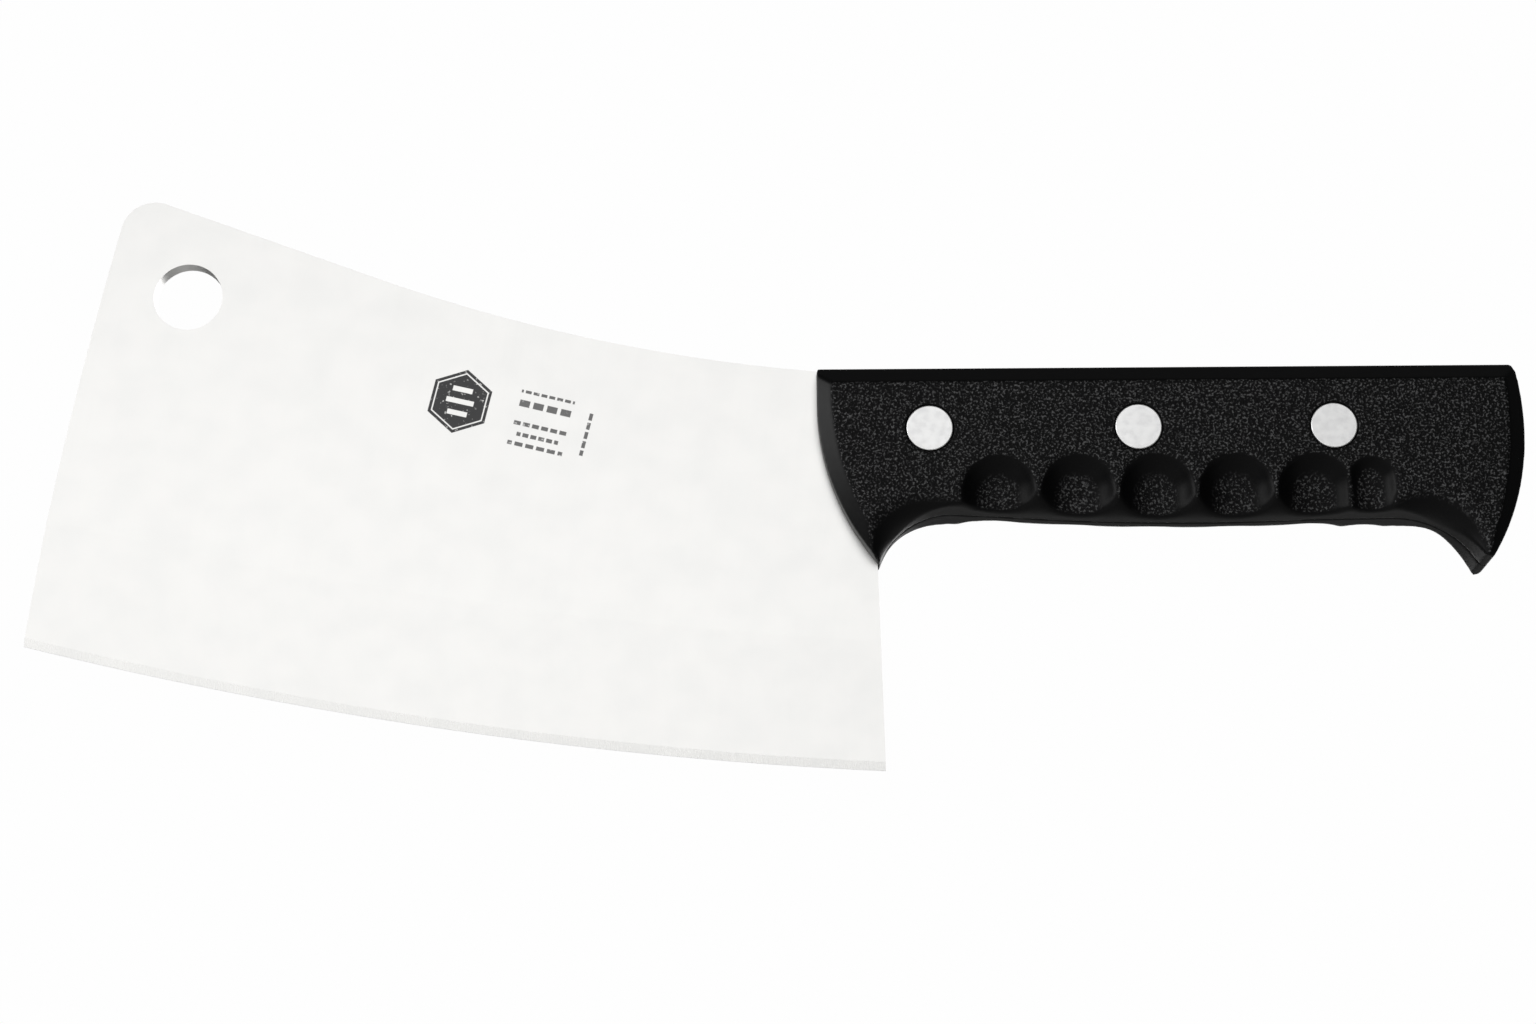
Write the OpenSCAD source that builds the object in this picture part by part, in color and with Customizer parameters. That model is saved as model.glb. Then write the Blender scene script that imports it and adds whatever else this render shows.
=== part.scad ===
// Meat cleaver: a heavy one-piece blade and tang between two moulded scales,
// held by three two-part rivets.
// Origin: centre of the hang hole, on the blade's middle plane.
// +X runs towards the handle, +Y across the thickness, +Z from the edge up to the spine.
// Outlines are drawn flat as [x, z] and stood up across the thickness. A distance across
// the thickness is counted from the middle plane towards the left side, which is -Y.

/* [Blade] */
// Thickness of the steel above the grind
blade_t = 4.5; // [4.2:0.1:5]
// Diameter of the hang hole
hang_d = 16.2; // [12:0.2:17]
// Radius of the curved cutting edge
edge_r = 1015; // [900:5:1200]
// Radius of the hollow in the spine
spine_r = 400; // [380:5:420]
// Radius of the bowed toe
toe_r = 1090; // [900:10:1500]
// Radius of the rounded corner at the top of the toe
toe_corner_r = 8; // [6:0.5:9]
// Height of the main grind above the cutting edge
grind_h = 30; // [20:1:35]
// Height of the small sharpening bevel
bevel_h = 2; // [1:0.25:3]
// Thickness of the steel where the sharpening bevel starts
bevel_t = 1.2; // [0.8:0.1:1.6]
// Thickness left at the very edge
edge_t = 0.2; // [0.2:0.05:0.3]

/* [Tang] */
// Thickness of the tang, ground down so that the scales seat against a shoulder
tang_t = 4; // [3.6:0.1:4.1]
// Radius of the inside corner where the tang leaves the blade
tang_root_r = 5; // [3:0.5:6]

/* [Handle] */
// Thickness of the handle over both scales
handle_t = 20; // [19:0.5:22]
// Width of the flat along the top of the handle
top_flat_w = 8.4; // [7:0.2:10]
// Drop of the bevel along the top of the handle
top_bevel_h = 5; // [4:0.25:6]

/* [Finger dimples] */
// Number of full dimples on each side
dimples = 5; // [3:1:5]
// Distance from one dimple to the next
dimple_pitch = 18.25; // [18:0.05:18.5]
// Radius of the ball that a dimple is cut with
dimple_r = 9.5; // [9:0.1:9.8]
// Depth of a dimple below the side of the handle
dimple_depth = 5.5; // [4:0.1:6]

/* [Rivets] */
// Diameter of the rivet heads
head_d = 10.8; // [10:0.1:12]
// Thickness of the rivet heads
head_t = 2; // [1.5:0.25:2.5]
// Outer diameter of the rivet sleeves
sleeve_d = 6; // [5.5:0.1:7]
// Diameter of the solid shanks inside the sleeves
shank_d = 4; // [3:0.1:4.5]

/* [Hidden] */
$fn = 96;

// Facets of a full circle for the long shallow curves
long_fn = 720;
// How far a cutting shape runs past what it cuts
over = 1;

// Corners of the blade
toe_foot = [-35.2, -83.9];
toe_head = [-14.3, 26.4];
spine_bend = [45, 4.2];
spine_end = [148.2, -19.5];
heel = [163.1, -114.4];

// Tang: its root, top and bottom at the front, and its clipped end
tang_root_x = 161.6;
tang_top = -24;
tang_bottom = -49;
tang_end = [299, -36];
tang_end_h = 19;
tang_end_clip = 5;

// Side view of the handle
half_t = handle_t / 2;
front_x = spine_end[0];
top_z = spine_end[1];
front_r = 60;
front_turn_z = -28.2;
butt_centre = [254.3, -34.7];
butt_r = 58.7;
guard_centre = [179.2, -72];
guard_r = 17.8;
belly_centre = [236.2, 543.5];
belly_r = 600;
hook_centre = [282.1, -78.3];
hook_r = 22.6;
hook_tip_z = -67;
handle_low_z = -75;
handle_far_x = 320;

// Bevelled ends of the handle: cones, each given by its circle on the side of the handle
front_cone = [221, -25.9];
front_cone_r = 69.5;
front_cone_to_x = 178;
butt_cone = [225.7, -33.4];
butt_cone_r = 82.9;
butt_cone_from_x = 285;

// Rounded underside of the guard and hook: circle on the side, and circle where it starts
guard_flare = [173.9, -68];
guard_flare_r = 17.4;
hook_flare = [287.7, -66.2];
hook_flare_r = 15.4;
flare_flat = 1.5;
flare_gap = 0.05;

// Rounding along the underside, from the first dimple to the last full one, and how deep that stretch is cut
belly_round_from = 3;
belly_round_r = 9.6;
belly_drop = 4;
belly_band = 5;

// Dimples: the first one, the length of their straight foot, and the small one at the back
first_dimple = [190, -50.9];
dimple_foot = 12;
last_dimple = [276, -48.6];
last_dimple_r = 6;
last_dimple_depth = 3.6;

// Rivets: their axes from the front, and how far each half reaches past the middle plane
rivet_at = [[174.2, -35.7], [222.6, -35.7], [267.9, -35.7]];
head_clearance = 0.1;
shank_reach = 6;
sleeve_reach = 7;

// Centre of the circle of radius r through p and q, on the left of the way from p to q
function circle_through(p, q, r) =
    let (d = q - p, len = norm(d), rise = sqrt(r * r - len * len / 4))
    (p + q) / 2 + rise * [-d[1], d[0]] / len;

// Radius of an arc that drops by a given amount over a given run
function drop_radius(drop, run) = (drop * drop + run * run) / (2 * drop);

// Direction from the belly's centre to its place at x
function belly_angle(x) = -acos((x - belly_centre[0]) / belly_r);

// Point of the belly's arc at x
function on_belly(x) = belly_centre + belly_r * [cos(belly_angle(x)), sin(belly_angle(x))];

edge_centre = circle_through(toe_foot, heel, edge_r);
toe_centre = circle_through(toe_head, toe_foot, toe_r);
spine_centre = circle_through(spine_bend, spine_end, spine_r);
belly_from_x = first_dimple[0];
belly_to_x = first_dimple[0] + (dimples - 1) * dimple_pitch;

// ---- Helpers ----

// Stands a flat outline up between two distances from the middle plane
module slab(from, to) {
    translate([0, -from, 0]) rotate([90, 0, 0]) linear_extrude(to - from) children();
}

// Turns a [radius, distance from the middle plane] outline about an axis across the thickness
module turned(centre, start = 0, angle = 360) {
    translate([centre[0], 0, centre[1]]) rotate([90, 0, 0]) rotate([0, 0, start])
        rotate_extrude(angle = angle, $fn = long_fn) children();
}

// Round bar across the thickness
module bar(centre, d, from, to) {
    translate([centre[0], -from, centre[1]]) rotate([90, 0, 0]) cylinder(d = d, h = to - from);
}

module disc(centre, r) {
    translate(centre) circle(r, $fn = long_fn);
}

module mirrored() {
    children();
    mirror([0, 1, 0]) children();
}

// ---- Outlines ----

// What the rounded corner at the top of the toe takes off
module toe_corner_cut() {
    out = (toe_head - toe_centre) / norm(toe_head - toe_centre);
    along_toe = [-out[1], out[0]];
    along_spine = (spine_bend - toe_head) / norm(spine_bend - toe_head);
    inward = (along_toe + along_spine) / norm(along_toe + along_spine);
    half_angle = acos(inward * along_spine);
    on_toe = toe_head + toe_corner_r / tan(half_angle) * along_toe;
    on_spine = toe_head + toe_corner_r / tan(half_angle) * along_spine;
    centre = toe_head + toe_corner_r / sin(half_angle) * inward;
    difference() {
        polygon([centre, on_spine, on_spine + [0, over], toe_head - over * inward, on_toe - [over, 0], on_toe]);
        disc(centre, toe_corner_r);
    }
}

// Blade and tang in one, with a hollow corner where the heel meets the tang
module steel_outline() {
    root = [tang_root_x + tang_root_r, tang_bottom - tang_root_r];
    difference() {
        intersection() {
            polygon([
                toe_foot - [30, 60], toe_foot - [30, 0], toe_head, spine_bend, spine_end,
                [front_x, tang_top], tang_end + [-tang_end_clip, tang_end_h / 2], tang_end + [0, tang_end_h / 4],
                tang_end - [0, tang_end_h / 4], tang_end - [tang_end_clip, tang_end_h / 2],
                [root[0], tang_bottom], root, [tang_root_x, root[1]], heel, heel - [0, 30],
            ]);
            disc(edge_centre, edge_r);
            disc(toe_centre, toe_r);
        }
        disc(spine_centre, spine_r);
        disc(root, tang_root_r);
        toe_corner_cut();
    }
}

// Open space under the grip, between the guard and the hook
module finger_space_outline() {
    disc(guard_centre, guard_r);
    disc(hook_centre, hook_r);
    difference() {
        polygon([
            guard_centre, guard_centre + [0, guard_r], on_belly(belly_from_x), on_belly(belly_to_x),
            hook_centre + [0, hook_r], hook_centre,
            [hook_centre[0], handle_low_z - over], [guard_centre[0], handle_low_z - over],
        ]);
        intersection() {
            disc(belly_centre, belly_r);
            polygon([
                on_belly(belly_from_x), on_belly(belly_to_x),
                on_belly(belly_to_x) - [0, belly_band], on_belly(belly_from_x) - [0, belly_band],
            ]);
        }
    }
}

module handle_outline() {
    difference() {
        intersection() {
            polygon([
                [front_x, top_z], [handle_far_x, top_z], [handle_far_x, hook_tip_z],
                [hook_centre[0], hook_tip_z], [hook_centre[0], handle_low_z], [front_x, handle_low_z],
            ]);
            union() {
                disc(butt_centre, butt_r);
                translate([front_x, handle_low_z]) square([butt_centre[0] - front_x, top_z - handle_low_z]);
            }
            union() {
                disc([front_x + front_r, front_turn_z], front_r);
                translate([front_x, front_turn_z]) square([front_r, top_z - front_turn_z]);
                translate([front_x + front_r, handle_low_z]) square([150, top_z - handle_low_z]);
            }
        }
        finger_space_outline();
    }
}

// ---- Cutting shapes, all for the left side ----

// Main grind and sharpening bevel: two cones about the centre of the edge
module grind_cut() {
    turned(edge_centre, start = 250, angle = 20) polygon([
        [edge_r - grind_h, blade_t / 2], [edge_r - bevel_h, bevel_t / 2], [edge_r, edge_t / 2],
        [edge_r + over, edge_t / 2], [edge_r + over, blade_t], [edge_r - grind_h, blade_t],
    ]);
}

// Bevel along the top of the handle
module top_bevel_cut() {
    translate([front_x - over, 0, 0]) rotate([90, 0, 90]) linear_extrude(handle_far_x - front_x) polygon([
        [-top_flat_w / 2, top_z], [-half_t, top_z - top_bevel_h], [-half_t - over, top_z - top_bevel_h],
        [-half_t - over, top_z + over], [-top_flat_w / 2, top_z + over],
    ]);
}

// Bevel round an end of the handle: what lies outside a cone, between two places along the handle
module end_bevel_cut(centre, r, from_x, to_x) {
    difference() {
        translate([from_x, -half_t - over, handle_low_z])
            cube([to_x - from_x, half_t + over, top_z + over - handle_low_z]);
        translate([centre[0], over, centre[1]]) rotate([90, 0, 0])
            cylinder(h = half_t + 3 * over, r1 = r + half_t + over, r2 = r - 2 * over, $fn = long_fn);
    }
}

// Rounding round the guard or the hook, from inside its open circle out to its circle on the side
module flare_cut(open_centre, open_r, centre, side_r) {
    start_r = open_r - norm(open_centre - centre) - flare_gap;
    round_r = drop_radius(side_r - start_r, half_t - flare_flat);
    turned(centre) difference() {
        translate([0, flare_flat]) square([start_r + round_r, half_t - flare_flat + over / 2]);
        disc([start_r + round_r, flare_flat], round_r);
    }
}

// Rounding along the belly of the grip, further out than the floor of the dimples
module belly_round_cut() {
    round_centre = circle_through([belly_r, belly_round_from], [belly_r - belly_drop, half_t], belly_round_r);
    from = belly_angle(belly_from_x);
    turned(belly_centre, start = from, angle = belly_angle(belly_to_x) - from) difference() {
        translate(round_centre) square([belly_round_r + over, half_t + over / 2 - round_centre[1]]);
        disc(round_centre, belly_round_r);
    }
}

// Finger dimple: a ball with a straight foot that runs out through the belly
module dimple_cut(centre, r, depth) {
    translate([centre[0], -half_t - r + depth, centre[1]]) {
        sphere(r);
        translate([0, 0, -dimple_foot]) cylinder(r = r, h = dimple_foot);
    }
}

// ---- Pieces ----

module blade() {
    color("gainsboro") difference() {
        slab(-blade_t / 2, blade_t / 2) steel_outline();
        mirrored() grind_cut();
        mirrored() slab(tang_t / 2, blade_t) handle_outline();
        bar([0, 0], hang_d, -blade_t, blade_t);
        for (at = rivet_at) bar(at, sleeve_d, -blade_t, blade_t);
    }
}

// Scale as it lies on the left side; the right one is its mirror image
module scale_half() {
    difference() {
        slab(0, half_t) handle_outline();
        top_bevel_cut();
        end_bevel_cut(front_cone, front_cone_r, front_x - over, front_cone_to_x);
        end_bevel_cut(butt_cone, butt_cone_r, butt_cone_from_x, handle_far_x);
        flare_cut(guard_centre, guard_r, guard_flare, guard_flare_r);
        flare_cut(hook_centre, hook_r, hook_flare, hook_flare_r);
        belly_round_cut();
        for (i = [0:dimples - 1])
            dimple_cut(first_dimple + [i * dimple_pitch, 0], dimple_r, dimple_depth);
        dimple_cut(last_dimple, last_dimple_r, last_dimple_depth);
        slab(-over, tang_t / 2) steel_outline();
        for (at = rivet_at) {
            bar(at, sleeve_d, -over, half_t);
            bar(at, head_d + 2 * head_clearance, half_t - head_t, half_t + over);
        }
    }
}

module left_scale() {
    color("#1b1b1c") scale_half();
}

module right_scale() {
    color("#1b1b1c") mirror([0, 1, 0]) scale_half();
}

// Solid half of a rivet, driven in from the left
module rivet_stud(at) {
    color("silver") {
        bar(at, head_d, half_t - head_t, half_t);
        bar(at, shank_d, -shank_reach, half_t - head_t);
    }
}

// Hollow half of a rivet, set in from the right, that grips the shank
module rivet_sleeve(at) {
    color("silver") {
        bar(at, head_d, -half_t, head_t - half_t);
        difference() {
            bar(at, sleeve_d, head_t - half_t, sleeve_reach);
            bar(at, shank_d, head_t - half_t, sleeve_reach + over);
        }
    }
}

blade();
left_scale();
right_scale();
rivet_stud(rivet_at[0]);  // front_rivet_stud
rivet_stud(rivet_at[1]);  // middle_rivet_stud
rivet_stud(rivet_at[2]);  // rear_rivet_stud
rivet_sleeve(rivet_at[0]);  // front_rivet_sleeve
rivet_sleeve(rivet_at[1]);  // middle_rivet_sleeve
rivet_sleeve(rivet_at[2]);  // rear_rivet_sleeve
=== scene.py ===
"""Meat cleaver: a ground steel blade held between two moulded scales by three rivets.

Sizes are in millimetres. A flat place is (x, z) on the blade's middle plane, with x towards
the handle and z up to the spine. The left side of the cleaver faces -Y.
"""

import logging
import math
from collections.abc import Callable, Mapping, Sequence
from dataclasses import dataclass
from enum import Enum
from typing import Any

import bmesh
import bpy
from mathutils import Matrix, Vector


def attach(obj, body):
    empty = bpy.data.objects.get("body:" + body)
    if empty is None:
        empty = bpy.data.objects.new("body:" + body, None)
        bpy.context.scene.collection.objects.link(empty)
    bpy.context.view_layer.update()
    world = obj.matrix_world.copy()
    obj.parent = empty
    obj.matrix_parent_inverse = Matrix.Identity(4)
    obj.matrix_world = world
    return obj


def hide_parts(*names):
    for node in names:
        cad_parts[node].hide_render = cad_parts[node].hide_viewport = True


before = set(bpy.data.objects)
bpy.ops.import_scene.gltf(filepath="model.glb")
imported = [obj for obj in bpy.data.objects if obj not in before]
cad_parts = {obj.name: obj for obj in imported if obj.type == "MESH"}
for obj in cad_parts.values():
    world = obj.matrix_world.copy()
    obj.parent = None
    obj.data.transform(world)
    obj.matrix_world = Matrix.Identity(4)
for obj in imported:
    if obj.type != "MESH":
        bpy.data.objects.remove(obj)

Flat = tuple[float, float]
Colour = tuple[float, float, float, float]
Piece = bpy.types.Object

MM = 0.001
JOIN = 1e-6

log = logging.getLogger("cleaver")


class Side(Enum):
    """Side of the blade, as its direction along Y."""

    LEFT = -1
    RIGHT = 1


# ---- Flat geometry ----


def circle_through(first: Flat, last: Flat, radius: float) -> Flat:
    """Centre of a circle through two places.

    Args:
        first: Place where the arc starts.
        last: Place where the arc ends.
        radius: Radius of the circle.

    Returns:
        The centre that lies on the left of the way from first to last.
    """
    run, rise = last[0] - first[0], last[1] - first[1]
    length = math.hypot(run, rise)
    reach = math.sqrt(radius**2 - length**2 / 4) / length
    return ((first[0] + last[0]) / 2 - reach * rise, (first[1] + last[1]) / 2 + reach * run)


def circles_meet(first: Flat, first_r: float, other: Flat, other_r: float) -> Flat:
    """Place where two circles cross.

    Args:
        first: Centre of the first circle.
        first_r: Its radius.
        other: Centre of the other circle.
        other_r: Its radius.

    Returns:
        The crossing on the right of the way from the first centre to the other.
    """
    run, rise = other[0] - first[0], other[1] - first[1]
    length = math.hypot(run, rise)
    along = (length**2 + first_r**2 - other_r**2) / (2 * length)
    off = math.sqrt(first_r**2 - along**2)
    return (
        first[0] + (run * along + rise * off) / length,
        first[1] + (rise * along - run * off) / length,
    )


def level_meets(centre: Flat, radius: float, level: float) -> Flat:
    """Place on the far side of a circle at a given height."""
    return (centre[0] + math.sqrt(radius**2 - (level - centre[1]) ** 2), level)


# ---- Bench work ----


def let_go() -> None:
    """Leaves edit mode and deselects everything."""
    if bpy.context.object is not None and bpy.context.object.mode != "OBJECT":
        bpy.ops.object.mode_set(mode="OBJECT")
    bpy.ops.object.select_all(action="DESELECT")


def hold(piece: Piece, editing: bool = False) -> None:
    """Selects one piece alone.

    Args:
        piece: Piece to work on.
        editing: True to open its mesh with everything in it selected.
    """
    let_go()
    piece.select_set(True)
    bpy.context.view_layer.objects.active = piece
    if editing:
        bpy.ops.object.mode_set(mode="EDIT")
        bpy.ops.mesh.select_mode(type="VERT")
        bpy.ops.mesh.select_all(action="SELECT")


def settle(piece: Piece) -> Piece:
    """Puts a piece's place and turn into its mesh."""
    hold(piece)
    bpy.ops.object.transform_apply(location=True, rotation=True, scale=True)
    return piece


def pick(kind: str, test: Callable[[Any], bool]) -> None:
    """Selects parts of the open mesh by their place or direction.

    Args:
        kind: verts, edges or faces.
        test: Says whether a part is wanted.
    """
    bpy.ops.mesh.select_all(action="DESELECT")
    bpy.ops.mesh.select_mode(type={"verts": "VERT", "edges": "EDGE", "faces": "FACE"}[kind])
    mesh = bmesh.from_edit_mesh(bpy.context.object.data)
    mesh.normal_update()
    for part in [part for part in getattr(mesh, kind) if test(part)]:
        part.select_set(True)
    mesh.select_flush_mode()
    bmesh.update_edit_mesh(bpy.context.object.data)


def face_out() -> None:
    """Turns every face of the open mesh outwards."""
    bpy.ops.mesh.select_all(action="SELECT")
    bpy.ops.mesh.normals_make_consistent(inside=False)


def applied(piece: Piece, kind: str, **settings: Any) -> Piece:
    """Adds a modifier with its settings and applies it."""
    hold(piece)
    modifier = piece.modifiers.new(kind.lower(), kind)
    for name, value in settings.items():
        setattr(modifier, name, value)
    bpy.ops.object.modifier_apply(modifier=modifier.name)
    return piece


def cut(piece: Piece, *tools: Piece) -> Piece:
    """Takes closed tools away from a piece and uses them up."""
    for tool in tools:
        applied(piece, "BOOLEAN", object=tool, operation="DIFFERENCE", solver="EXACT")
        bpy.data.objects.remove(tool)
    return piece


def turned_over(piece: Piece, name: str) -> Piece:
    """Copy of a piece, mirrored to the other side of the middle plane."""
    hold(piece)
    bpy.ops.object.duplicate()
    copy = bpy.context.object
    copy.name = copy.data.name = name
    hold(copy, editing=True)
    bpy.ops.transform.mirror(constraint_axis=(False, True, False), center_override=(0, 0, 0))
    face_out()
    let_go()
    return copy


def moved_copy(piece: Piece, name: str, shift: Vector) -> Piece:
    """Copy of a piece with its own mesh, moved by shift."""
    hold(piece)
    bpy.ops.object.duplicate()
    copy = bpy.context.object
    copy.name = copy.data.name = name
    hold(copy, editing=True)
    bpy.ops.transform.translate(value=shift)
    let_go()
    return copy


class Outline:
    """Outline drawn on from one point, by extruding it and spinning it."""

    def __init__(self, start: Flat, across: Vector, up: Vector, origin: Vector) -> None:
        """Puts down the first point.

        Args:
            start: First place, as distances along across and up.
            across: Direction of the first distance.
            up: Direction of the second distance.
            origin: Where both distances are nothing, in metres.
        """
        self.across, self.up, self.origin = across, up, origin
        self.here = start
        let_go()
        bpy.ops.mesh.primitive_plane_add(size=MM)
        self.piece = bpy.context.object
        hold(self.piece, editing=True)
        bpy.ops.mesh.merge(type="CENTER")
        bpy.ops.transform.translate(value=self.place(start))

    def place(self, flat: Flat) -> Vector:
        """Where a flat place stands, in metres."""
        return self.origin + (self.across * flat[0] + self.up * flat[1]) * MM

    def to(self, *places: Flat) -> "Outline":
        """Draws straight lines on to each place in turn."""
        for flat in places:
            step = self.place(flat) - self.place(self.here)
            bpy.ops.mesh.extrude_region_move(TRANSFORM_OT_translate={"value": step})
            self.land(flat)
        return self

    def land(self, flat: Flat) -> None:
        """Sets the last point down exactly on its place."""
        mesh = bmesh.from_edit_mesh(self.piece.data)
        for vert in mesh.verts:
            if vert.select:
                vert.co = self.place(flat)
        bmesh.update_edit_mesh(self.piece.data)
        self.here = flat

    def round(self, centre: Flat, end: Flat, step: float) -> "Outline":
        """Draws an arc on to a place, the short way.

        Args:
            centre: Centre of the arc.
            end: Place where it ends.
            step: Longest chord.

        Returns:
            The outline.
        """
        start = (self.here[0] - centre[0], self.here[1] - centre[1])
        stop = (end[0] - centre[0], end[1] - centre[1])
        turn = math.atan2(
            start[0] * stop[1] - start[1] * stop[0], start[0] * stop[0] + start[1] * stop[1]
        )
        chords = max(2, math.ceil(abs(turn) * math.hypot(*start) / step))
        axis = self.across.cross(self.up)
        bpy.ops.mesh.spin(steps=chords, angle=-turn, center=self.place(centre), axis=axis)
        self.land(end)
        return self

    def filled(self) -> Piece:
        """Closes the outline and fills it with one face."""
        bpy.ops.mesh.select_all(action="SELECT")
        bpy.ops.mesh.remove_doubles(threshold=JOIN)
        bpy.ops.mesh.select_all(action="SELECT")
        bpy.ops.mesh.edge_face_add()
        return self.piece

    def plate(self, low: float, high: float, shift: float) -> Piece:
        """Fills the outline, shifts it along X and draws it out between two places along Y."""
        self.filled()
        bpy.ops.transform.translate(value=(shift * MM, low * MM, 0))
        thickness = {"value": (0, (high - low) * MM, 0)}
        bpy.ops.mesh.extrude_region_move(TRANSFORM_OT_translate=thickness)
        face_out()
        let_go()
        return self.piece

    def swept(self, turn: float, steps: int) -> Piece:
        """Spins the filled outline part of the way round the Y axis through its origin."""
        self.filled()
        bpy.ops.mesh.spin(steps=steps, angle=turn, center=self.origin, axis=(0, 1, 0))
        face_out()
        let_go()
        return self.piece

    def turned(self, steps: int) -> Piece:
        """Spins an outline from axis to axis all the way round."""
        bpy.ops.mesh.select_all(action="SELECT")
        bpy.ops.mesh.spin(steps=steps, angle=math.tau, center=self.origin, axis=(0, 1, 0))
        bpy.ops.mesh.select_all(action="SELECT")
        bpy.ops.mesh.remove_doubles(threshold=JOIN)
        face_out()
        let_go()
        return self.piece


def side_view(start: Flat) -> Outline:
    """Outline on the middle plane."""
    return Outline(start, Vector((1, 0, 0)), Vector((0, 0, 1)), Vector())


def section(start: Flat, centre: Flat, side: Side, angle: float = 0.0) -> Outline:
    """Outline of a section that is then spun about an axis across the thickness.

    Args:
        start: First place, as a radius and a distance from the middle plane.
        centre: Place of the axis.
        side: Side on which the distance counts.
        angle: Direction of the section about the axis.

    Returns:
        The outline.
    """
    outward = Vector((math.cos(angle), 0, math.sin(angle)))
    return Outline(start, outward, Vector((0, side.value, 0)), Vector((centre[0], 0, centre[1])) * MM)


def block(low: Sequence[float], high: Sequence[float]) -> Piece:
    """Cutting block between two corners."""
    let_go()
    middle = [(a + b) / 2 * MM for a, b in zip(low, high)]
    bpy.ops.mesh.primitive_cube_add(size=MM, location=middle, scale=[b - a for a, b in zip(low, high)])
    return settle(bpy.context.object)


def drill(centre: Flat, radius: float, low: float, high: float, sides: int = 96) -> Piece:
    """Round cutting tool along Y, between two places."""
    return taper(centre, (radius, radius), low, high, sides)


def taper(centre: Flat, radii: Flat, low: float, high: float, sides: int) -> Piece:
    """Conical cutting tool along Y.

    Args:
        centre: Place of its axis.
        radii: Radius at the high end and at the low end.
        low: Lower place along Y.
        high: Higher place along Y.
        sides: Number of its sides.

    Returns:
        The tool.
    """
    let_go()
    bpy.ops.mesh.primitive_cone_add(
        vertices=sides,
        radius1=radii[0] * MM,
        radius2=radii[1] * MM,
        depth=(high - low) * MM,
        location=(centre[0] * MM, (low + high) / 2 * MM, centre[1] * MM),
        rotation=(math.pi / 2, 0, 0),
    )
    return settle(bpy.context.object)


# ---- Surface work ----


class Field:
    """Number that varies over a surface and takes part in sums."""

    def __init__(self, recipe: "Recipe", socket: bpy.types.NodeSocket) -> None:
        """Wraps the socket that gives the number."""
        self.recipe, self.socket = recipe, socket

    def _sum(self, operation: str, *values: Any) -> "Field":
        """Adds one Math node that works on some values."""
        node = self.recipe.add(
            "ShaderNodeMath", {"operation": operation}, dict(enumerate(values))
        )
        return Field(self.recipe, node.outputs[0])

    def __add__(self, other: Any) -> "Field":
        """This number and another added."""
        return self._sum("ADD", self, other)

    def __radd__(self, other: float) -> "Field":
        """Another number and this one added."""
        return self._sum("ADD", other, self)

    def __sub__(self, other: Any) -> "Field":
        """This number less another."""
        return self._sum("SUBTRACT", self, other)

    def __rsub__(self, other: float) -> "Field":
        """Another number less this one."""
        return self._sum("SUBTRACT", other, self)

    def __mul__(self, other: Any) -> "Field":
        """This number times another."""
        return self._sum("MULTIPLY", self, other)

    def __rmul__(self, other: float) -> "Field":
        """Another number times this one."""
        return self._sum("MULTIPLY", other, self)

    def __truediv__(self, other: Any) -> "Field":
        """This number divided by another."""
        return self._sum("DIVIDE", self, other)

    def __abs__(self) -> "Field":
        """This number without its sign."""
        return self._sum("ABSOLUTE", self)

    def higher(self, other: Any) -> "Field":
        """The higher of two numbers."""
        return self._sum("MAXIMUM", self, other)

    def root(self) -> "Field":
        """Square root of this number."""
        return self._sum("SQRT", self)

    def part(self) -> "Field":
        """What this number has after the point."""
        return self._sum("FRACT", self)

    def rise(self, low: float, high: float) -> "Field":
        """Goes smoothly from 0 to 1 as this number goes from low to high."""
        sockets = {0: self, 1: low, 2: high, 3: 0.0, 4: 1.0}
        node = self.recipe.add("ShaderNodeMapRange", {"interpolation_type": "SMOOTHSTEP"}, sockets)
        return Field(self.recipe, node.outputs[0])

    def fall(self, low: float, high: float) -> "Field":
        """Goes smoothly from 1 to 0 as this number goes from low to high."""
        return 1.0 - self.rise(low, high)


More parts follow.
